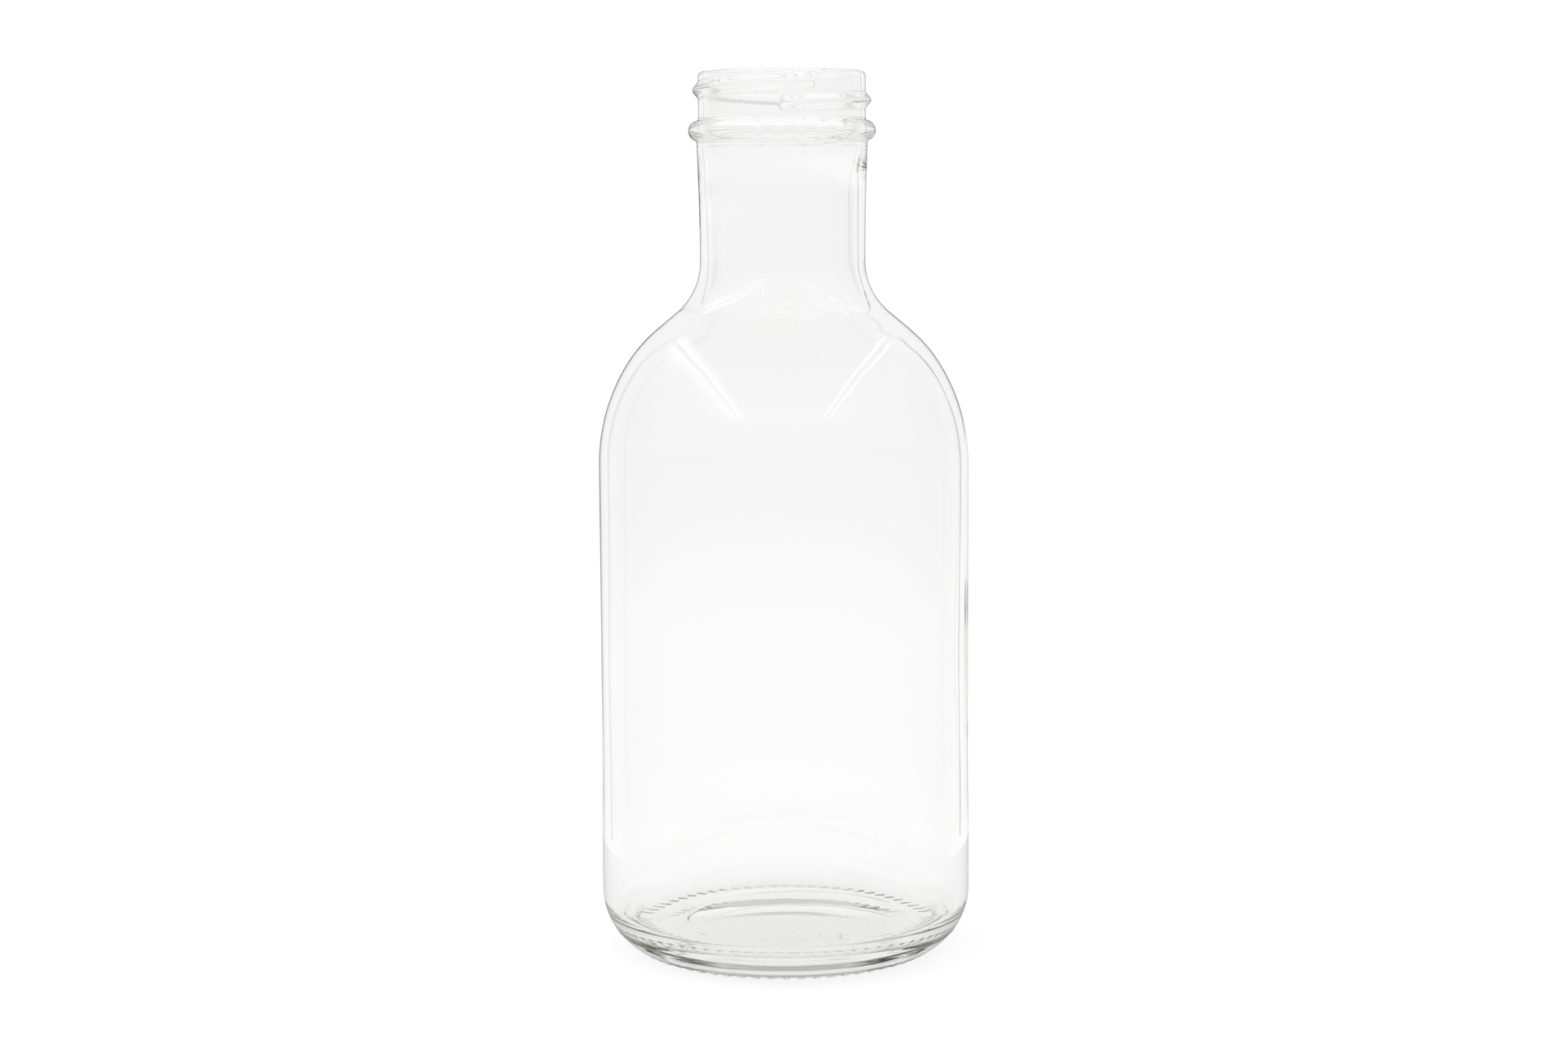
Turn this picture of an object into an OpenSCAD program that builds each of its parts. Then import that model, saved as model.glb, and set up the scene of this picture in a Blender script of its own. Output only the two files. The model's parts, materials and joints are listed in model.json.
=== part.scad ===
// Clear glass bottle with a one-turn screw finish, modelled standing upright.
// The glass is divided at its moulding zones: base, heel, sidewall, shoulder, neck,
// transfer bead, finish and thread. Neighbouring zones meet face to face.
// Origin: middle of the plane that the bottle stands on. +Z is up, -Y is the front.

/* [Body] */
// Height from the standing plane to the rim
bottle_h = 183.9; // [182:0.1:187]
// Radius of the straight label panel
panel_r = 38.7; // [38:0.1:39.5]
// How far the heel band stands proud of the label panel
panel_recess = 0.2; // [0.1:0.05:0.4]
// Height of the straight heel band
band_h = 8; // [7:0.5:9]
// Height over which the heel band tapers into the label panel
band_blend = 22; // [18:1:26]
// Thickness of the glass behind the label panel
wall_t = 2.5; // [2:0.1:3]
// Height at which the straight wall turns into the shoulder
shoulder_z = 102.6; // [98:0.2:104]

/* [Heel and base] */
// Outer radius of the ring that the bottle stands on
ring_r = 30.2; // [29.4:0.1:31]
// Width of that ring's flat, inside this radius
ring_w = 1.4; // [1:0.1:2]
// Height of the rounded heel
heel_h = 12.3; // [11.4:0.1:13]
// Radius of the tight curve beside the standing ring
heel_curve = 4; // [3.5:0.1:4.5]
// Radius of the inside corner between wall and floor
corner_r = 5; // [4.5:0.1:6]
// Height of the flat inside floor
floor_z = 6.3; // [5.8:0.1:6.8]
// How far the underside is pushed up in the middle
push_up = 1.8; // [1.2:0.1:2.4]

/* [Knurl under the standing ring] */
// Number of ribs
rib_count = 64; // [48:4:72]
// Length of a rib, along the radius
rib_len = 3; // [2.6:0.1:3.4]
// Width of a rib
rib_w = 1; // [0.8:0.1:1.2]
// Height of a rib
rib_h = 0.25; // [0.2:0.05:0.4]

/* [Shoulder and neck] */
// Radius of the lower shoulder curve
lower_curve = 39.5; // [38:0.5:41]
// Angle that the lower curve turns through
lower_turn = 31; // [29:0.5:32]
// Radius of the upper shoulder curve
upper_curve = 31; // [29:0.5:32]
// Angle that the upper curve turns through
upper_turn = 19.2; // [18:0.2:20.4]
// Radius of the hollow curve between shoulder and neck
neck_curve = 13.75; // [12:0.25:14.5]
// Radius of the neck at its waist
waist_r = 17.2; // [16.6:0.1:17.6]
// Radius of the neck under the transfer bead
neck_top_r = 17.75; // [17.6:0.05:18]
// Thickness of the glass at the waist
neck_t = 3; // [2.6:0.1:3.2]
// Radius of the throat, where the neck's inside starts to widen into the mouth
throat_r = 14.6; // [14.4:0.1:14.8]
// Depth of that place below the transfer bead
throat_drop = 11; // [9:0.5:13]

/* [Finish] */
// Depth of the finish from the rim to the top of the transfer bead
finish_h = 10.1; // [9.8:0.1:10.8]
// Radius of the finish between the threads
finish_r = 17.35; // [17.3:0.05:17.5]
// Radius of the mouth
bore_r = 15.65; // [15.5:0.05:15.7]
// Rounding of the rim's outer edge
lip_outer = 1; // [0.7:0.1:1.1]
// Rounding of the rim's inner edge
lip_inner = 0.4; // [0.3:0.1:0.4]
// Radius over the transfer bead
bead_r = 19.45; // [19.2:0.05:19.7]
// Height of the transfer bead
bead_h = 4.2; // [3.8:0.1:4.4]

/* [Thread] */
// Radius over the thread
thread_r = 18.5; // [18.4:0.05:18.7]
// Rise of the thread in one turn
thread_pitch = 4.233; // [4.2:0.001:4.3]
// Angle that the thread runs through
thread_turn = 387; // [375:3:396]
// Radius of the thread's rounded section
thread_round = 1; // [0.9:0.05:1.1]
// Depth of the thread's upper end below the rim
thread_drop = 2.5; // [2.3:0.1:2.8]
// Angle over which the thread rises out of the surface at each end
thread_fade = 34; // [30:1:45]
// Direction of the thread's upper end, seen from above, from +X
thread_start = -65; // [-180:5:180]

/* [Mould marks under the base] */
// Number of dots
dot_count = 9; // [5:1:11]
// Radius of the circle that the dots lie on
dot_ring = 27.2; // [26.6:0.1:27.4]
// Radius of a dot
dot_r = 0.8; // [0.4:0.1:0.8]
// Number of bars
bar_count = 5; // [3:1:5]
// Length of a bar, front to back
bar_len = 8; // [4:0.5:8]
// Width of a bar
bar_w = 1.6; // [1:0.1:1.8]
// How far a bar stands out from the underside
bar_h = 0.3; // [0.2:0.05:0.3]

/* [Hidden] */
$fn = 180;

glass = [0.84, 0.9, 0.88];
glass_dark = [0.72, 0.82, 0.79];

inner_r = panel_r - wall_t;
band_r = panel_r + panel_recess;
heel_top = rib_h + heel_h;
corner_top = floor_z + corner_r;
band_top = heel_top + band_h;
waist_in = waist_r - neck_t;
shoulder_turn = lower_turn + upper_turn;
bead_round = bead_h / 2;
bead_top = bottle_h - finish_h;
bead_z = bead_top - bead_round;
bead_core = bead_r - bead_round;
bead_low = bead_z - sqrt(pow(bead_round, 2) - pow(neck_top_r - bead_core, 2));
throat_z = bead_low - throat_drop;

// The ribs start at the inner edge of the standing ring. Each reaches up into the glass,
// and the base zone is wide enough to hold them
rib_start = ring_r - ring_w;
rib_end = rib_start + rib_len;
rib_root = 0.2;
rib_top = rib_h + heel_curve - sqrt(pow(heel_curve, 2) - pow(rib_end - ring_r, 2)) + rib_root;
base_r = rib_end + 0.4;

// The dots stand out less than the ribs. All marks reach some way up into the glass
dot_h = 0.8 * rib_h;
mark_root = 1;
dot_start = -112;
dot_step = 7;
bar_start = -4.8;
bar_step = 4.2;
bar_y = -16.3;

// The thread's crest starts sunk below the surface
thread_sink = 0.12;
thread_step = 6;
thread_sides = 14;

// The large heel curve joins the tight one smoothly and meets the wall upright
heel_run = band_r - ring_r;
heel_sweep =
    (pow(heel_run, 2) + pow(heel_h, 2) - 2 * heel_h * heel_curve) / (2 * (heel_run - heel_curve));
heel_join = atan2(heel_curve - heel_h, ring_r - band_r + heel_sweep);

arc_steps = 12;
ease_steps = 8;

// Points along an arc: centre, radius, first and last angle
function arc(c, r, a0, a1, n = arc_steps) =
    [for (i = [0:n]) let (a = a0 + (a1 - a0) * i / n) c + r * [cos(a), sin(a)]];

// Points along an S-curve between two places, upright at both ends
function ease(p0, p1, n = ease_steps) =
    [for (i = [0:n]) let (t = i / n, s = (1 - cos(180 * t)) / 2)
        [p0.x + (p1.x - p0.x) * s, p0.y + (p1.y - p0.y) * t]];

// Points along a gentle curve that leaves p0 upright and ends at p1
function flare(p0, p1, n = ease_steps) =
    [for (i = [0:n]) let (t = i / n) [p0.x + (p1.x - p0.x) * t * t, p0.y + (p1.y - p0.y) * t]];

function reverse(list) = [for (i = [len(list) - 1:-1:0]) list[i]];

// One side of the shoulder from the wall's edge up to the waist: two swelling curves,
// a straight cone whose length follows from the waist radius, and the hollow curve
function shoulder_path(r0, curve_a, curve_b, curve_c, r1) =
    let (ca = [r0 - curve_a, shoulder_z])
    let (pa = ca + curve_a * [cos(lower_turn), sin(lower_turn)])
    let (cb = pa - curve_b * [cos(lower_turn), sin(lower_turn)])
    let (pb = cb + curve_b * [cos(shoulder_turn), sin(shoulder_turn)])
    let (cone = (pb.x - r1 - curve_c * (1 - cos(shoulder_turn))) / sin(shoulder_turn))
    let (pc = pb + cone * [-sin(shoulder_turn), cos(shoulder_turn)])
    let (cc = pc + curve_c * [cos(shoulder_turn), sin(shoulder_turn)])
    concat(
        arc(ca, curve_a, 0, lower_turn),
        arc(cb, curve_b, lower_turn, shoulder_turn),
        arc(cc, curve_c, 180 + shoulder_turn, 180)
    );

outer_shoulder = shoulder_path(panel_r, lower_curve, upper_curve, neck_curve, waist_r);
inner_shoulder = shoulder_path(
    inner_r, lower_curve - wall_t, upper_curve - wall_t, neck_curve + neck_t, waist_in
);
waist = outer_shoulder[len(outer_shoulder) - 1];
waist_inside = inner_shoulder[len(inner_shoulder) - 1];

// Height of the underside's shallow dome at a distance from the axis
function under_z(r) = rib_h + push_up * (1 + cos(180 * r / rib_start)) / 2;

underside = [for (i = [0:arc_steps]) let (r = rib_start * i / arc_steps) [r, under_z(r)]];

outside_wall = concat(
    arc([ring_r, rib_h + heel_curve], heel_curve, -90, heel_join),
    arc([band_r - heel_sweep, heel_top], heel_sweep, heel_join, 0),
    ease([band_r, band_top], [panel_r, band_top + band_blend]),
    outer_shoulder,
    flare(waist, [neck_top_r, bead_low]),
    arc([bead_core, bead_z], bead_round, -acos((neck_top_r - bead_core) / bead_round), 90),
    [[finish_r, bead_top]],
    arc([finish_r - lip_outer, bottle_h - lip_outer], lip_outer, 0, 90, 6)
);

inside_wall = concat(
    [[0, floor_z]],
    arc([inner_r - corner_r, corner_top], corner_r, -90, 0),
    inner_shoulder,
    flare(waist_inside, [throat_r, throat_z]),
    ease([throat_r, throat_z], [bore_r, bead_low]),
    arc([bore_r + lip_inner, bottle_h - lip_inner], lip_inner, 180, 90, 6)
);

// Half of the glass cut through its axis
module section() {
    polygon(concat(underside, outside_wall, reverse(inside_wall)));
}

// The glass between two heights and two radii
module zone(z0, z1, r0 = 0, r1 = band_r + 1) {
    rotate_extrude()
        intersection() {
            section();
            translate([r0, z0]) square([r1 - r0, z1 - z0]);
        }
}

// Height of the thread's crest over the finish, sunk below the surface at both ends
function crest(a) =
    let (t = min(1, a / thread_fade, (thread_turn - a) / thread_fade))
    (thread_r - finish_r + thread_sink) * sin(90 * t) - thread_sink;

// Middle of the thread's round section at an angle along the thread
function thread_middle(a) =
    [finish_r + crest(a) - thread_round, bottle_h - thread_drop - thread_pitch * a / 360];

function thread_ring(a) =
    [for (k = [0:thread_sides - 1])
        let (t = 360 * k / thread_sides, m = thread_middle(a) + thread_round * [cos(t), sin(t)])
        [m.x * cos(thread_start - a), m.x * sin(thread_start - a), m.y]];

// Closed body swept through the thread's rings, round its axis from the top down
module thread_sweep() {
    rings = round(thread_turn / thread_step);
    points = [for (i = [0:rings]) each thread_ring(thread_turn * i / rings)];
    sides = [for (i = [0:rings - 1], k = [0:thread_sides - 1])
        let (a = i * thread_sides + k, b = i * thread_sides + (k + 1) % thread_sides)
        each [[a, b, b + thread_sides], [a, b + thread_sides, a + thread_sides]]];
    first = [for (k = [thread_sides - 1:-1:0]) k];
    last = [for (k = [0:thread_sides - 1]) rings * thread_sides + k];
    polyhedron(points, concat([first], sides, [last]));
}

// One rib of the knurl, flat underneath
module rib() {
    translate([rib_start, -rib_w / 2, 0]) cube([rib_len, rib_w, rib_top]);
}

// A mark with the outline of its child, standing out from the underside at a place
module mark(x, y, h) {
    translate([x, y, under_z(norm([x, y])) - h])
        linear_extrude(h + mark_root)
            children();
}

// Plain mould marks on the underside: an arc of dots and a row of bars
module mould_marks() {
    for (i = [0:dot_count - 1])
        let (a = dot_start + dot_step * i)
            mark(dot_ring * cos(a), dot_ring * sin(a), dot_h) circle(dot_r, $fn = 24);
    for (i = [0:bar_count - 1])
        mark(bar_start + bar_step * i, bar_y, bar_h) square([bar_w, bar_len], center = true);
}

module finish() {
    color(glass) zone(bead_top, bottle_h);
}

module thread() {
    color(glass_dark)
        difference() {
            thread_sweep();
            cylinder(h = bottle_h + 10, r = finish_r);
        }
}

module transfer_bead() {
    color(glass_dark) zone(bead_low, bead_top);
}

module neck() {
    color(glass) zone(waist.y, bead_low);
}

module shoulder() {
    color(glass_dark) zone(shoulder_z, waist.y);
}

module sidewall() {
    color(glass) zone(corner_top, shoulder_z);
}

module heel() {
    color(glass_dark) zone(0, corner_top, base_r);
}

module base() {
    color(glass) {
        zone(0, corner_top, 0, base_r);
        for (i = [0:rib_count - 1]) rotate(360 * i / rib_count) rib();
        mould_marks();
    }
}

finish();
thread();
transfer_bead();
neck();
shoulder();
sidewall();
heel();
base();
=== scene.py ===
"""Glass milk bottle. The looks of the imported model, in metres, in the same frame as the CAD."""

import json
import math

import bpy
import numpy as np
from mathutils import Matrix, Vector


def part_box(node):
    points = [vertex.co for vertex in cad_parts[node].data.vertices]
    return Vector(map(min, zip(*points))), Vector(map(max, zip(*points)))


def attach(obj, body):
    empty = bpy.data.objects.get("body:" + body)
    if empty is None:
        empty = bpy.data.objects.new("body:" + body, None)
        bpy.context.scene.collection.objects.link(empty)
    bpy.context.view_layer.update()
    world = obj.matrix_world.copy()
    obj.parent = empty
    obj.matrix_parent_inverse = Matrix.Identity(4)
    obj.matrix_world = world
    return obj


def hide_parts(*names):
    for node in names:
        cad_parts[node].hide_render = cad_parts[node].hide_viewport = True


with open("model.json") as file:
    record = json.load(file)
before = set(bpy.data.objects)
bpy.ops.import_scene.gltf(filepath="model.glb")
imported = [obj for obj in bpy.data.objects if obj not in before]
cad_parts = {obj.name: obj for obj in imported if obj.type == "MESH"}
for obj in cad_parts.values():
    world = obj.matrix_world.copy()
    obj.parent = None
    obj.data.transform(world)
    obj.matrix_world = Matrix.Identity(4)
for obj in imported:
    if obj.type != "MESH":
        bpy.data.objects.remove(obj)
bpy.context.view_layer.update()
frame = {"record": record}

MM = 0.001
DEG = math.pi / 180

# Zones of the glass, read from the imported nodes
ZONES = ["finish", "thread", "transfer_bead", "neck", "shoulder", "sidewall", "heel", "base"]
BOX = {name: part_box(name) for name in ZONES}
MOUNTS = {mount["name"]: mount for mount in frame["record"]["mounts"]}


def low(name):
    """Height of the underside of a zone."""
    return BOX[name][0].z


def high(name):
    """Height of the top of a zone."""
    return BOX[name][1].z


def radius(name):
    """Largest radius of a zone."""
    return BOX[name][1].x


RIM_Z = high("finish")
BEAD_TOP = high("transfer_bead")
BEAD_LOW = low("transfer_bead")
SHOULDER_Z = low("shoulder")
CORNER_TOP = high("heel")
BAND_R = radius("sidewall")
PANEL_R = radius("shoulder")
NECK_TOP_R = radius("neck")
BEAD_R = radius("transfer_bead")
FINISH_R = radius("finish")
BORE_R = MOUNTS["mouth"]["dims"]["r_mm"] * MM

# Shape of the glass between those heights
WALL = 2.5 * MM
NECK_WALL = 3.0 * MM
WAIST_R = 17.2 * MM
THROAT_R = 14.6 * MM
RING_R = 30.2 * MM
RING_W = 1.4 * MM
HEEL_H = 12.3 * MM
HEEL_CURVE = 4.0 * MM
CORNER_R = 5.0 * MM
FLOOR_Z = CORNER_TOP - CORNER_R
PUSH_UP = 1.8 * MM
BAND_H = 8.0 * MM
BAND_BLEND = 22.0 * MM
THROAT_DROP = 11.0 * MM
LOWER_CURVE, LOWER_TURN = 39.5 * MM, 31.0 * DEG
UPPER_CURVE, UPPER_TURN = 31.0 * MM, 19.2 * DEG
NECK_CURVE = 13.75 * MM
LIP_OUTER = 1.0 * MM
LIP_INNER = 0.4 * MM
BEAD_FILLET = 0.5 * MM
SLIVER = 0.01 * MM

# Ribs under the standing ring: how steep their flanks are, where they start and end, and how they
# fade at the back
RIB_COUNT = 64
RIB_H = 0.25 * MM
RIB_TOP = 2.0 * MM
RIB_END = 32.3 * MM
RIB_FLANK = (-0.6, 0.95)
RIB_INNER = (RING_R - RING_W - 1.0 * MM, RING_R + 0.1 * MM)
RIB_OUTER = (RIB_END - 1.2 * MM, RIB_END)
BACK, RIB_WORN, WORN_HALF = 90, 0.8, 62

# Thread, angles in degrees
THREAD_PROUD = 1.15 * MM
THREAD_HALF = 1.85 * MM
THREAD_PITCH = 4.233 * MM
THREAD_TURN = 387.0
THREAD_START = -65.0
THREAD_DROP = 2.5 * MM
THREAD_FADE = 34.0

# Mould seams: height, how far they stand out and half width. The upright ones lie at two angles in degrees
NECK_SEAMS = [(168.6 * MM, 0.11 * MM, 0.16 * MM), (167.2 * MM, 0.066 * MM, 0.14 * MM)]
HEEL_SEAM, HEEL_SEAM_H, HEEL_SEAM_HALF = 4.3 * MM, 0.09 * MM, 0.3 * MM
SIDE_SEAMS, SIDE_SEAM_H, SIDE_SEAM_HALF = (-12.66, 167.34), 0.015 * MM, 0.9

# Mould marks on the underside: a ring off centre, an arc of dots and a row of bars
BAFFLE_R, BAFFLE_X, BAFFLE_H, BAFFLE_HALF = 24.4 * MM, 3.1 * MM, 0.12 * MM, 0.4 * MM
DOTS, DOT_RING, DOT_START, DOT_STEP, DOT_H = 9, 27.2 * MM, -112.0, 7.0, 0.24 * MM
DOT_EDGE = (0.5 * MM, 1.1 * MM)
BARS, BAR_START, BAR_STEP, BAR_Y, BAR_H = 5, -4.8 * MM, 4.2 * MM, -16.3 * MM, 0.3 * MM
BAR_SIDE = (0.5 * MM, 1.1 * MM)
BAR_TIP = (3.5 * MM, 4.2 * MM)

# How the hollow wanders in the neck (height and sideways shift in mm), and the waves of the inner wall
# (size in mm, waves round the wall, change of phase up the wall and phase)
HOLLOW_SHIFT = [(128, 0), (141, 0.2), (150, 0), (159, -0.25), (168, 0)]
WALL_WAVES = [(0.035, 2, 40, 0.6), (0.025, 3, -70, 2.1), (0.015, 5, 110, 4.0), (0.05, 0, 95, 0.0)]
WAVES_IN, WAVES_OUT = (16 * MM, 34 * MM), (158 * MM, 168 * MM)
# The waves are weaker above this stretch, and nearly stop round the middle of the shoulder
CALM, CALM_ABOVE = 0.6, (118 * MM, 135 * MM)
STILL_Z, STILL_HALF = 118 * MM, 14 * MM

# Points round the axis: inside, outside and round the ribs
COARSE = 128
COLUMNS = 256
FINE = 512
# Share of the underside's radius that has sparse points, and how many times fewer
DOME_SPLIT, DOME_SPARSE = 0.45, 6
# Steps up the neck, of which every third stays near the ring seams and every fortieth elsewhere
NECK_STEPS, NECK_FINE, NECK_COARSE = 400, 3, 40
SEAMS_BELOW, SEAMS_ABOVE = 0.9 * MM, 0.7 * MM


# ---------------------------------------------------------------- outline of the glass


def arc(centre, r, a0, a1, n):
    """Points along an arc, without its first one, so that runs join without doubles."""
    a = np.linspace(a0, a1, n + 1)[1:]
    return np.stack([centre[0] + r * np.cos(a), centre[1] + r * np.sin(a)], 1)


def line(p0, p1, n):
    """Points along a straight line, without its first one."""
    t = np.linspace(0, 1, n + 1)[1:, None]
    return np.array(p0) * (1 - t) + np.array(p1) * t


def ease(p0, p1, n):
    """S-curve, upright at both ends."""
    t = np.linspace(0, 1, n + 1)[1:]
    s = (1 - np.cos(math.pi * t)) / 2
    return np.stack([p0[0] + (p1[0] - p0[0]) * s, p0[1] + (p1[1] - p0[1]) * t], 1)


def flare(p0, p1, n):
    """Gentle curve that leaves p0 upright."""
    t = np.linspace(0, 1, n + 1)[1:]
    return np.stack([p0[0] + (p1[0] - p0[0]) * t * t, p0[1] + (p1[1] - p0[1]) * t], 1)


def dome(r_end, z_end, rise, steps):
    """Low dome from the axis to r_end, level at both ends, with closer points in its outer part."""
    inner = np.linspace(0, DOME_SPLIT, steps // DOME_SPARSE + 1)[:-1]
    outer = np.linspace(DOME_SPLIT, 1, steps + 1)
    r = r_end * np.concatenate([inner, outer])
    return np.stack([r, z_end + rise * (1 + np.cos(math.pi * r / r_end)) / 2], 1)


def shoulder_run(r0, curve_a, curve_b, curve_c, r1, steps):
    """Two swelling curves, a cone and the hollow curve that ends upright at the waist."""
    turn = LOWER_TURN + UPPER_TURN
    ca = np.array([r0 - curve_a, SHOULDER_Z])
    pa = ca + curve_a * np.array([math.cos(LOWER_TURN), math.sin(LOWER_TURN)])
    cb = pa - curve_b * np.array([math.cos(LOWER_TURN), math.sin(LOWER_TURN)])
    pb = cb + curve_b * np.array([math.cos(turn), math.sin(turn)])
    cone = (pb[0] - r1 - curve_c * (1 - math.cos(turn))) / math.sin(turn)
    pc = pb + cone * np.array([-math.sin(turn), math.cos(turn)])
    cc = pc + curve_c * np.array([math.cos(turn), math.sin(turn)])
    return np.concatenate(
        [
            arc(ca, curve_a, 0, LOWER_TURN, steps),
            arc(cb, curve_b, LOWER_TURN, turn, steps // 2),
            line(pb, pc, steps // 3),
            arc(cc, curve_c, math.pi + turn, math.pi, steps),
        ]
    )


def heel_run():
    """Tight curve beside the standing ring, then the wide one up to the wall."""
    run = BAND_R - RING_R
    sweep = (run**2 + HEEL_H**2 - 2 * HEEL_H * HEEL_CURVE) / (2 * (run - HEEL_CURVE))
    join = math.atan2(HEEL_CURVE - HEEL_H, sweep - run)
    tight = arc((RING_R, RIB_H + HEEL_CURVE), HEEL_CURVE, -math.pi / 2, join, 14)
    wide = arc((BAND_R - sweep, RIB_H + HEEL_H), sweep, join, 0, 24)
    return tight, wide


def bead_run():
    """Transfer bead with a small fillet above and below it."""
    r = (BEAD_TOP - BEAD_LOW) / 2 + SLIVER
    c = np.array([BEAD_R - r, (BEAD_TOP + BEAD_LOW) / 2])
    runs = []
    for side, wall in ((-1, NECK_TOP_R), (1, FINISH_R)):
        f = np.array([wall + BEAD_FILLET, c[1]])
        f[1] += side * math.sqrt((r + BEAD_FILLET) ** 2 - (f[0] - c[0]) ** 2)
        meet = math.atan2(f[1] - c[1], f[0] - c[0])
        runs.append((f, meet))
    (f0, m0), (f1, m1) = runs
    start = np.array([NECK_TOP_R, f0[1]])
    pieces = [
        arc(f0, BEAD_FILLET, math.pi, math.pi + m0, 5),
        arc(c, r, m0, m1, 26),
        arc(f1, BEAD_FILLET, m1 - math.pi, -math.pi, 5),
    ]
    return start, np.concatenate(pieces)


def neck_run():
    """Outside of the neck, with closer points where the ring seams are."""
    run = flare(outer_shoulder[-1], bead_start, NECK_STEPS)
    near = (run[:, 1] > NECK_SEAMS[-1][0] - SEAMS_BELOW) & (run[:, 1] < NECK_SEAMS[0][0] + SEAMS_ABOVE)
    step = np.arange(NECK_STEPS)
    keep = np.where(near, step % NECK_FINE == 0, step % NECK_COARSE == NECK_COARSE - 1)
    keep[-1] = True
    return run[keep]


tight_heel, wide_heel = heel_run()
bead_start, bead = bead_run()
outer_shoulder = shoulder_run(PANEL_R, LOWER_CURVE, UPPER_CURVE, NECK_CURVE, WAIST_R, 20)
inner_shoulder = shoulder_run(
    PANEL_R - WALL,
    LOWER_CURVE - WALL,
    UPPER_CURVE - WALL,
    NECK_CURVE + NECK_WALL,
    WAIST_R - NECK_WALL,
    20,
)
band_top = RIB_H + HEEL_H + BAND_H
panel_low = band_top + BAND_BLEND
lip_low = RIM_Z - LIP_OUTER

underside = dome(RING_R - RING_W, RIB_H, PUSH_UP, 50)
ring = line(underside[-1], (RING_R, RIB_H), 4)
outer_wall = np.concatenate(
    [
        line((BAND_R, RIB_H + HEEL_H), (BAND_R, band_top), 2),
        ease((BAND_R, band_top), (PANEL_R, panel_low), 7),
        line((PANEL_R, panel_low), (PANEL_R, SHOULDER_Z), 6),
        outer_shoulder,
        neck_run(),
        bead,
        line(bead[-1], (FINISH_R, lip_low), 40),
        arc((FINISH_R - LIP_OUTER, lip_low), LIP_OUTER, 0, math.pi / 2, 7),
    ]
)
throat_low = BEAD_LOW - THROAT_DROP
inner_wall = np.concatenate(
    [
        line((FINISH_R - LIP_OUTER, RIM_Z), (BORE_R + LIP_INNER, RIM_Z), 2),
        arc((BORE_R + LIP_INNER, RIM_Z - LIP_INNER), LIP_INNER, math.pi / 2, math.pi, 6),
        line((BORE_R, RIM_Z - LIP_INNER), (BORE_R, BEAD_LOW), 8),
        ease((BORE_R, BEAD_LOW), (THROAT_R, throat_low), 12),
        flare(inner_shoulder[-1], (THROAT_R, throat_low), 8)[::-1][1:],
        inner_shoulder[-1:],
        inner_shoulder[::-1][1:],
        line(inner_shoulder[0], (PANEL_R - WALL, CORNER_TOP), 26),
        arc((PANEL_R - WALL - CORNER_R, CORNER_TOP), CORNER_R, 0, -math.pi / 2, 16),
        line((PANEL_R - WALL - CORNER_R, FLOOR_Z), (0, FLOOR_Z), 20),
    ]
)

# ---------------------------------------------------------------- relief on the outline


def smooth(x, a, b):
    """0 up to a, 1 from b on, smooth between."""
    t = np.clip((x - a) / (b - a), 0, 1)
    return t * t * (3 - 2 * t)


def thread_relief(angle, z):
    """How far the thread stands out at an angle in degrees from +X, at a height."""
    out = np.zeros(np.broadcast(angle, z).shape)
    for lap in (0, 360):
        along = (THREAD_START - angle) % 360 + lap
        inside = np.clip(np.minimum(along, THREAD_TURN - along) / THREAD_FADE, 0, 1)
        rise = THREAD_PROUD * np.sin(inside * math.pi / 2)
        off = (z - (RIM_Z - THREAD_DROP - THREAD_PITCH * along / 360)) / THREAD_HALF
        out = np.maximum(out, rise * np.clip(1 - off**2, 0, None) ** 2)
    return out


def ribs(angle, r):
    """0 between the ribs of the standing ring, 1 on them, less at the back, where they hardly show."""
    across = smooth(np.cos(angle * DEG * RIB_COUNT), *RIB_FLANK)
    along = smooth(r, *RIB_INNER) * (1 - smooth(r, *RIB_OUTER))
    worn = 1 - RIB_WORN * bump(angle, BACK, WORN_HALF)
    return across * along * worn


def bump(x, middle, half):
    """Soft ridge of height 1."""
    return np.exp(-(((x - middle) / half) ** 2))


def glide(x, stops):
    """Value that moves smoothly from stop to stop."""
    out = np.full(np.shape(x), float(stops[0][1]))
    for (x0, v0), (x1, v1) in zip(stops, stops[1:]):
        out = out + (v1 - v0) * smooth(x, x0, x1)
    return out


def seams(angle, z):
    """Fine mould seams: two up the sides, two uneven ones under the transfer bead, one round the heel."""
    turn = angle * DEG
    uneven = 0.45 + 0.3 * np.sin(3 * turn + 1) + 0.25 * np.sin(11 * turn) * np.sin(4 * turn + 2)
    out = uneven * sum(height * bump(z, place, half) for place, height, half in NECK_SEAMS)
    out = out + HEEL_SEAM_H * bump(z, HEEL_SEAM, HEEL_SEAM_HALF)
    upright = sum(bump((angle - a + 180) % 360 - 180, 0, SIDE_SEAM_HALF) for a in SIDE_SEAMS)
    return out + SIDE_SEAM_H * upright * (z > HEEL_SEAM) * (z < BEAD_LOW)


def marks(x, y):
    """How far the baffle ring and the plain dots and bars stand out from the underside."""
    out = BAFFLE_H * bump(np.hypot(x - BAFFLE_X, y), BAFFLE_R, BAFFLE_HALF)
    for i in range(DOTS):
        a = (DOT_START + DOT_STEP * i) * DEG
        away = np.hypot(x - DOT_RING * math.cos(a), y - DOT_RING * math.sin(a))
        out = np.maximum(out, DOT_H * (1 - smooth(away, *DOT_EDGE)))
    for i in range(BARS):
        across = 1 - smooth(abs(x - BAR_START - BAR_STEP * i), *BAR_SIDE)
        along = 1 - smooth(abs(y - BAR_Y), *BAR_TIP)
        out = np.maximum(out, BAR_H * across * along)
    return out


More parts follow.
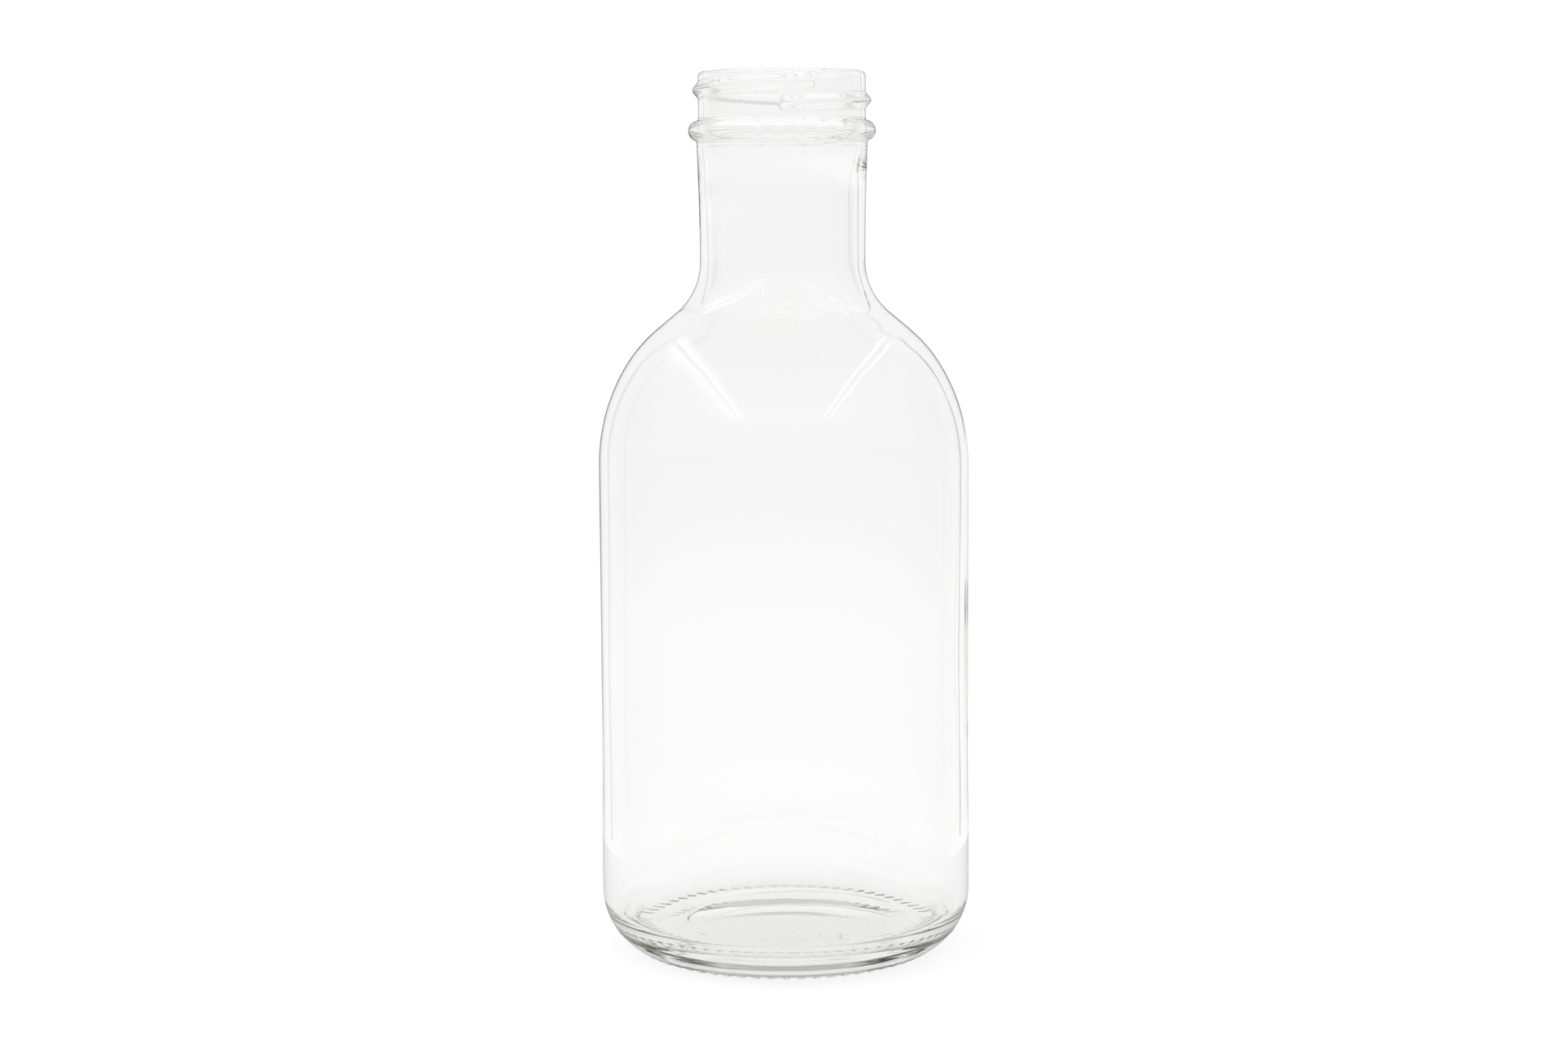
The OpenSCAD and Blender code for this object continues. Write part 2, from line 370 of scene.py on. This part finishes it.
def cavity(angle, z):
    """How the hollow wanders: sideways shift and waves of the inner wall."""
    shift = MM * glide(z / MM, HOLLOW_SHIFT)
    turn = angle * DEG
    wave = sum(size * np.sin(n * turn + climb * z + phase) for size, n, climb, phase in WALL_WAVES)
    fade = smooth(z, *WAVES_IN) * (1 - smooth(z, *WAVES_OUT))
    calm = (1 - CALM * smooth(z, *CALM_ABOVE)) * (1 - bump(z, STILL_Z, STILL_HALF))
    return shift, wave * MM * fade * calm


def turn_points(outline, columns, outside):
    """Rings of points round the axis, one ring for each point of the outline."""
    angle = (np.arange(columns) * 360 / columns)[None, :]
    r = np.repeat(outline[:, :1], columns, 1)
    z = np.repeat(outline[:, 1:], columns, 1)
    a = angle * DEG
    shift = 0
    if outside:
        z = z - RIB_H * ribs(angle, r) * (z < RIB_TOP)
        z = z - marks(r * np.cos(a), r * np.sin(a)) * (r < RING_R - RING_W)
        r = r + thread_relief(angle, z) * (z > BEAD_TOP) * (z < RIM_Z - SLIVER)
        r = r + seams(angle, z)
    else:
        shift, wave = cavity(angle, z)
        r = r + wave
    return np.stack([r * np.cos(a) + shift, r * np.sin(a), z], 2)


def glass_mesh():
    """The closed surface of the glass: underside, outside, rim, inside and floor."""
    under = turn_points(underside[1:-2], COLUMNS, True)
    fine = turn_points(np.concatenate([underside[-2:], ring, tight_heel]), FINE, True)
    rest = turn_points(np.concatenate([wide_heel, outer_wall]), COLUMNS, True)
    inside = turn_points(inner_wall[:-1], COARSE, False)
    points = [np.array([[0, 0, underside[0][1]]])]
    faces = []
    count = 1

    def add(rings):
        nonlocal count
        n = rings.shape[1]
        first = count + np.arange(len(rings)) * n
        points.append(rings.reshape(-1, 3))
        count += rings.size // 3
        return [list(range(s, s + n)) for s in first]

    def join(a, b):
        n = len(a)
        for i in range(n):
            j = (i + 1) % n
            faces.append((a[i], a[j], b[j], b[i]))

    def widen(a, b):
        """Coarse ring a to fine ring b, outward."""
        for i in range(len(a)):
            j = (i + 1) % len(a)
            b0, b1, b2 = b[2 * i], b[2 * i + 1], b[(2 * i + 2) % len(b)]
            faces.extend([(a[i], b1, b0), (a[i], a[j], b1), (a[j], b2, b1)])

    def narrow(b, a):
        """Fine ring b to coarse ring a, outward."""
        for i in range(len(a)):
            j = (i + 1) % len(a)
            b0, b1, b2 = b[2 * i], b[2 * i + 1], b[(2 * i + 2) % len(b)]
            faces.extend([(b0, b1, a[i]), (b1, a[j], a[i]), (b1, b2, a[j])])

    u, f, o, n = add(under), add(fine), add(rest), add(inside)
    for i in range(COLUMNS):
        faces.append((0, u[0][(i + 1) % COLUMNS], u[0][i]))
    for group in (u, f, o, n):
        for a, b in zip(group, group[1:]):
            join(a, b)
    widen(u[-1], f[0])
    narrow(f[-1], o[0])
    narrow(o[-1], n[0])
    points.append(np.array([[0, 0, inner_wall[-1][1]]]))
    for i in range(COARSE):
        faces.append((count, n[-1][i], n[-1][(i + 1) % COARSE]))
    mesh = bpy.data.meshes.new("bottle_glass")
    mesh.from_pydata(np.concatenate(points).tolist(), [], faces)
    mesh.validate()
    mesh.update()
    mesh.shade_smooth()
    return mesh


# ---------------------------------------------------------------- materials

# Glow of the table seen directly, through the glass and mirrored in it
TABLE_DIRECT, TABLE_THROUGH, TABLE_MIRRORED = 0.83, 0.79, 0.25
# Painted shadow under the bottle, a darker and slightly tinted glow: full up to the first of these
# distances from the axis and gone at the second
UNDER_BOTTLE_SHADOW = (0.92, 0.925, 0.895, 1)
SHADOW_INSIDE, SHADOW_END = 21 * MM, 30 * MM
TABLE_COLOUR, TABLE_ROUGHNESS = (0.2, 0.2, 0.2, 1), 0.9
WHITE = (1, 1, 1, 1)

GLASS_IOR = 1.52
# What the glass takes out of light on its way
GLASS_TINT, GLASS_DENSITY = (0.52, 0.56, 0.36, 1), 2.1
# Ripples in the surface: noise scale, detail, depth and the height that they reach up to
GLASS_RIPPLES = [
    (55, 1, 0.012 * MM, RIM_Z),
    (420, 2, 0.0012 * MM, RIM_Z),
    (130, 1, 0.07 * MM, 4 * MM),
]
RIPPLE_FADE = 1 * MM
# Patches of slight haze: noise scale and detail, the noise levels where it starts and is full, roughness
HAZE_NOISE, HAZE_FROM, HAZE_FULL, GLASS_HAZE = (35, 4), 0.45, 0.75, 0.02


def new_material(name):
    """A material with its nodes and links."""
    material = bpy.data.materials.new(name)
    material.use_nodes = True
    nodes = material.node_tree.nodes
    return material, nodes, material.node_tree.links


def blown_glass():
    """Clear glass with the slow ripple and fine grain of a mould, and a faint tint in its depth."""
    material, nodes, links = new_material("blown_glass")
    shader = nodes["Principled BSDF"]
    shader.inputs["Base Color"].default_value = WHITE
    shader.inputs["IOR"].default_value = GLASS_IOR
    shader.inputs["Transmission Weight"].default_value = 1
    place = nodes.new("ShaderNodeTexCoord").outputs["Object"]

    def noise(scale, detail):
        node = nodes.new("ShaderNodeTexNoise")
        node.inputs["Scale"].default_value = scale
        node.inputs["Detail"].default_value = detail
        links.new(place, node.inputs["Vector"])
        return node.outputs[0]

    height = nodes.new("ShaderNodeSeparateXYZ")
    links.new(place, height.inputs[0])
    normal = None
    for scale, detail, depth, top in GLASS_RIPPLES:
        bumps = nodes.new("ShaderNodeBump")
        bumps.inputs["Distance"].default_value = depth
        links.new(noise(scale, detail), bumps.inputs["Height"])
        below = nodes.new("ShaderNodeMapRange")
        below.inputs["From Min"].default_value = top
        below.inputs["From Max"].default_value = top - RIPPLE_FADE
        links.new(height.outputs["Z"], below.inputs["Value"])
        links.new(below.outputs[0], bumps.inputs["Strength"])
        if normal:
            links.new(normal, bumps.inputs["Normal"])
        normal = bumps.outputs[0]
    links.new(normal, shader.inputs["Normal"])
    haze = nodes.new("ShaderNodeMapRange")
    haze.inputs["From Min"].default_value = HAZE_FROM
    haze.inputs["From Max"].default_value = HAZE_FULL
    haze.inputs["To Max"].default_value = GLASS_HAZE
    links.new(noise(*HAZE_NOISE), haze.inputs["Value"])
    links.new(haze.outputs[0], shader.inputs["Roughness"])
    tint = nodes.new("ShaderNodeVolumeAbsorption")
    tint.inputs["Color"].default_value = GLASS_TINT
    tint.inputs["Density"].default_value = GLASS_DENSITY
    links.new(tint.outputs[0], nodes["Material Output"].inputs["Volume"])
    return material


def pale_floor():
    """White table lit from inside, so that the glass throws only a faint shadow on it. A painted shadow
    darkens its glow under the bottle.
    """
    material, nodes, links = new_material("pale_floor")
    shader = nodes["Principled BSDF"]
    shader.inputs["Base Color"].default_value = TABLE_COLOUR
    shader.inputs["Roughness"].default_value = TABLE_ROUGHNESS
    shader.inputs["Specular IOR Level"].default_value = 0
    away = nodes.new("ShaderNodeVectorMath")
    away.operation = "LENGTH"
    links.new(nodes.new("ShaderNodeTexCoord").outputs["Object"], away.inputs[0])
    outward = nodes.new("ShaderNodeMapRange")
    outward.inputs["From Min"].default_value = SHADOW_INSIDE
    outward.inputs["From Max"].default_value = SHADOW_END
    links.new(away.outputs["Value"], outward.inputs["Value"])
    # Painted shadow: the table's glow is darker and slightly tinted under the bottle, white further out
    tint = nodes.new("ShaderNodeMixRGB")
    tint.inputs["Color1"].default_value = UNDER_BOTTLE_SHADOW
    tint.inputs["Color2"].default_value = WHITE
    links.new(outward.outputs[0], tint.inputs["Fac"])
    links.new(tint.outputs[0], shader.inputs["Emission Color"])
    path = nodes.new("ShaderNodeLightPath")
    glow = None
    for ray, value in (("Is Camera Ray", TABLE_DIRECT), ("Is Reflection Ray", TABLE_MIRRORED)):
        level = nodes.new("ShaderNodeMapRange")
        level.inputs["To Min"].default_value = TABLE_THROUGH
        level.inputs["To Max"].default_value = value
        links.new(path.outputs[ray], level.inputs["Value"])
        if glow:
            links.new(glow, level.inputs["To Min"])
        glow = level.outputs[0]
    links.new(glow, shader.inputs["Emission Strength"])
    return material


# ---------------------------------------------------------------- the object

glass = bpy.data.objects.new("bottle_glass", glass_mesh())
bpy.context.scene.collection.objects.link(glass)
glass.data.materials.append(blown_glass())
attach(glass, "root")
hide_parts(*ZONES)

# ---------------------------------------------------------------- floor, light and camera

# The floor lies a hair below the bottle, so that the two never share a plane
FLOOR_RADIUS, FLOOR_POINTS, FLOOR_GAP = 0.12, 96, 0.05 * MM
# Direction that counts as straight behind the bottle, in degrees below the horizon
FORWARD_DIP = 6.0
# Level of the backdrop for the camera itself, and for what lights the table
CAMERA_WHITE = 1.05
DIFFUSE_WHITE = 1.02

# Level of the backdrop seen through the glass, against elevation in degrees: above and below the
# table's far edge
TABLE_EDGE = -4.4
ABOVE_TABLE = [(-4.5, 0.97), (-1.5, 0.95), (5, 0.95)]
BELOW_TABLE = [(-14, 1.01), (-9, 1.01), (-6.5, 0.98), (-4.4, 0.955)]
# ... and its change with azimuth, 0 straight behind the bottle, + to the right
STRIPS = [(-40, 1), (-36, 1), (-33.5, 0.8), (-31.5, 0.8), (-29, 1),
          (29, 1), (30, 0.5), (32, 0.5), (33, 1), (40, 1)]
# Level of what the glass mirrors near straight behind, against the angle from there: on the left and
# above, and on the right up to an elevation of RIGHT_TOP
MIRRORED_LEFT = [(0, 0.0), (15, 0.0), (19, 0.6), (28, 0.85), (60, 0.8)]
MIRRORED_RIGHT = [(0, 0.4), (8, 0.5), (16, 0.85), (28, 0.9), (60, 0.8)]
RIGHT_TOP = -2.5
# ... which is at least this much against elevation, where it mirrors the table
MIRRORED_LOW = [(-14, 0.75), (-11.6, 0.6), (-8.5, 0.4), (-6, 0.0)]
# Level of the rest of the room against elevation
ROOM = [(-90, 0.93), (-25, 0.95), (-8, 0.9), (0, 0.75), (12, 0.7),
        (35, 0.9), (45, 0.6), (75, 0.6), (90, 0.7)]
# ... and what the glass mirrors of it
MIRRORED_ROOM = [(-90, 0.3), (-25, 0.35), (-8, 0.45), (0, 0.5), (12, 0.5), (35, 0.6), (90, 0.7)]
# ... which takes over between these angles from straight behind
ROOM_SHARE = [(44, 0), (68, 1)]
# Light that reaches the eye after many turns inside the glass is weaker: factor against their number
LONG_WAY = [(0, 1), (7, 1), (10, 0.95), (30, 0.95)]
# Lamps run front to back overhead: level against sideways slope x/z of the direction
LAMPS = [(-1.4, 0), (-1.15, 0.15), (-1.0, 0.6), (-0.93, 0.75), (-0.91, 0), (-0.865, 0), (-0.85, 1.4),
         (-0.79, 0.5), (-0.7, 0), (0.77, 0), (0.785, 1.4), (0.80, 1.4), (0.815, 0),
         (0.885, 0), (0.90, 1.3), (0.915, 1.3), (0.93, 0)]
# Where the lamps end, as the slope y/z of the direction, and the width of their soft ends
LAMP_FRONT, LAMP_BACK, LAMP_SOFT = -1.3, 0.75, 0.3
LAMP_REACH = [(LAMP_FRONT - LAMP_SOFT, 0), (LAMP_FRONT, 1), (LAMP_BACK, 1), (LAMP_BACK + LAMP_SOFT, 0)]
# Directions lower than this count as this high, so that the slopes stay finite
LOWEST = 0.05

# Soft lights: name, azimuth, elevation, size and power
SOFTBOXES = [("softbox_left", -85, 46, (1.8, 1.4), 15), ("softbox_right", 85, 46, (0.7, 1.4), 6)]
SOFTBOX_DISTANCE = 2.5
SOFTBOX_AIM = (0, 0, 0.12)

# Light paths through two walls of glass are long
BOUNCES = 64


def add_floor():
    """A round table top that ends a little way behind the bottle."""
    mesh = bpy.data.meshes.new("floor")
    turns = np.linspace(0, 2 * math.pi, FLOOR_POINTS + 1)[:-1]
    rim = [(FLOOR_RADIUS * math.cos(t), FLOOR_RADIUS * math.sin(t), 0) for t in turns]
    mesh.from_pydata(rim, [], [tuple(range(FLOOR_POINTS))])
    floor = bpy.data.objects.new("floor", mesh)
    floor.location.z = -FLOOR_GAP
    bpy.context.scene.collection.objects.link(floor)
    floor.data.materials.append(pale_floor())


def add_softbox(name, azimuth, elevation, size, power):
    """A soft light aimed at the bottle. Azimuth 0 is where the camera stands, + is to the right."""
    a, e = azimuth * DEG, elevation * DEG
    aim = Vector(SOFTBOX_AIM)
    way = Vector((math.sin(a) * math.cos(e), -math.cos(a) * math.cos(e), math.sin(e)))
    place = aim + SOFTBOX_DISTANCE * way
    data = bpy.data.lights.new(name, "AREA")
    data.shape = "RECTANGLE"
    data.size, data.size_y = size
    data.energy = power
    lamp = bpy.data.objects.new(name, data)
    lamp.location = place
    lamp.rotation_mode = "QUATERNION"
    lamp.rotation_quaternion = (aim - place).to_track_quat("-Z", "Y")
    lamp.visible_camera = False
    lamp.visible_glossy = False
    lamp.visible_transmission = False
    bpy.context.scene.collection.objects.link(lamp)


def add_world():
    """White studio: what the camera sees, what shows through the glass, and what the glass mirrors."""
    world = bpy.data.worlds.new("studio")
    bpy.context.scene.world = world
    world.use_nodes = True
    nodes, links = world.node_tree.nodes, world.node_tree.links

    def wire(node, first, values):
        for socket, value in zip(node.inputs[first:], values):
            if isinstance(value, (int, float)):
                socket.default_value = value
            else:
                links.new(value, socket)
        return node.outputs[0]

    def calc(kind, *values):
        node = nodes.new("ShaderNodeMath")
        node.operation = kind
        return wire(node, 0, values)

    def ramp(value, stops):
        """Level of a value along stops, as a curve of straight pieces."""
        lo, hi = stops[0][0], stops[-1][0]
        node = nodes.new("ShaderNodeValToRGB")
        band = node.color_ramp
        for i, (place, level) in enumerate(stops):
            at = (place - lo) / (hi - lo)
            stop = band.elements[i] if i < 2 else band.elements.new(at)
            stop.position = at
            stop.color = (level, level, level, 1)
        links.new(calc("DIVIDE", calc("SUBTRACT", value, lo), hi - lo), node.inputs[0])
        return node.outputs[0]

    def mix(factor, a, b):
        node = nodes.new("ShaderNodeMix")
        links.new(factor, node.inputs[0])
        return wire(node, 2, (a, b))

    way = nodes.new("ShaderNodeSeparateXYZ")
    links.new(nodes.new("ShaderNodeTexCoord").outputs["Generated"], way.inputs[0])
    x, y, z = way.outputs
    elevation = calc("MULTIPLY", calc("ARCSINE", z), 1 / DEG)
    azimuth = calc("MULTIPLY", calc("ARCTAN2", x, y), 1 / DEG)
    ahead = calc("SUBTRACT", calc("MULTIPLY", y, math.cos(FORWARD_DIP * DEG)),
                 calc("MULTIPLY", z, math.sin(FORWARD_DIP * DEG)))
    off_axis = calc("MULTIPLY", calc("ARCCOSINE", ahead), 1 / DEG)
    lift = calc("MAXIMUM", z, LOWEST)
    lamps = ramp(calc("DIVIDE", x, lift), LAMPS)
    lamps = calc("MULTIPLY", lamps, ramp(calc("DIVIDE", y, lift), LAMP_REACH))
    above = calc("GREATER_THAN", elevation, TABLE_EDGE)
    backdrop = mix(above, ramp(elevation, BELOW_TABLE), ramp(elevation, ABOVE_TABLE))
    through = calc("MULTIPLY", ramp(azimuth, STRIPS), backdrop)
    right = calc("MULTIPLY", calc("GREATER_THAN", x, 0), calc("LESS_THAN", elevation, RIGHT_TOP))
    mirrored = mix(right, ramp(off_axis, MIRRORED_LEFT), ramp(off_axis, MIRRORED_RIGHT))
    path = nodes.new("ShaderNodeLightPath")
    mirrored = calc("MAXIMUM", mirrored, ramp(elevation, MIRRORED_LOW))
    level = mix(path.outputs["Is Reflection Ray"], through, mirrored)
    room = mix(path.outputs["Is Reflection Ray"], ramp(elevation, ROOM), ramp(elevation, MIRRORED_ROOM))
    level = mix(ramp(off_axis, ROOM_SHARE), level, room)
    level = calc("MULTIPLY", level, ramp(path.outputs["Ray Depth"], LONG_WAY))
    level = calc("ADD", level, lamps)
    level = mix(path.outputs["Is Camera Ray"], level, CAMERA_WHITE)
    level = mix(path.outputs["Is Diffuse Ray"], level, DIFFUSE_WHITE)
    links.new(level, nodes["Background"].inputs["Color"])


def add_camera():
    """The camera as fitted to the bottle's outline in the picture."""
    focal_px, frame_px, sensor = 3453, 1920, 36.0
    distance, height, pitch, roll = 0.590, 0.154, 6.19 * DEG, -0.3 * DEG
    data = bpy.data.cameras.new("camera")
    data.sensor_width = sensor
    data.lens = sensor * focal_px / frame_px
    camera = bpy.data.objects.new("camera", data)
    turn = Matrix.Rotation(math.pi / 2 - pitch, 4, "X") @ Matrix.Rotation(roll, 4, "Z")
    camera.matrix_world = Matrix.Translation((0, -distance, height)) @ turn
    data.clip_start, data.clip_end = 0.05, 20
    bpy.context.scene.collection.objects.link(camera)
    bpy.context.scene.camera = camera


add_floor()
add_world()
for softbox in SOFTBOXES:
    add_softbox(*softbox)
add_camera()
scene = bpy.context.scene
scene.view_settings.view_transform = "Standard"
scene.cycles.max_bounces = BOUNCES
scene.cycles.transmission_bounces = BOUNCES
scene.cycles.glossy_bounces = BOUNCES
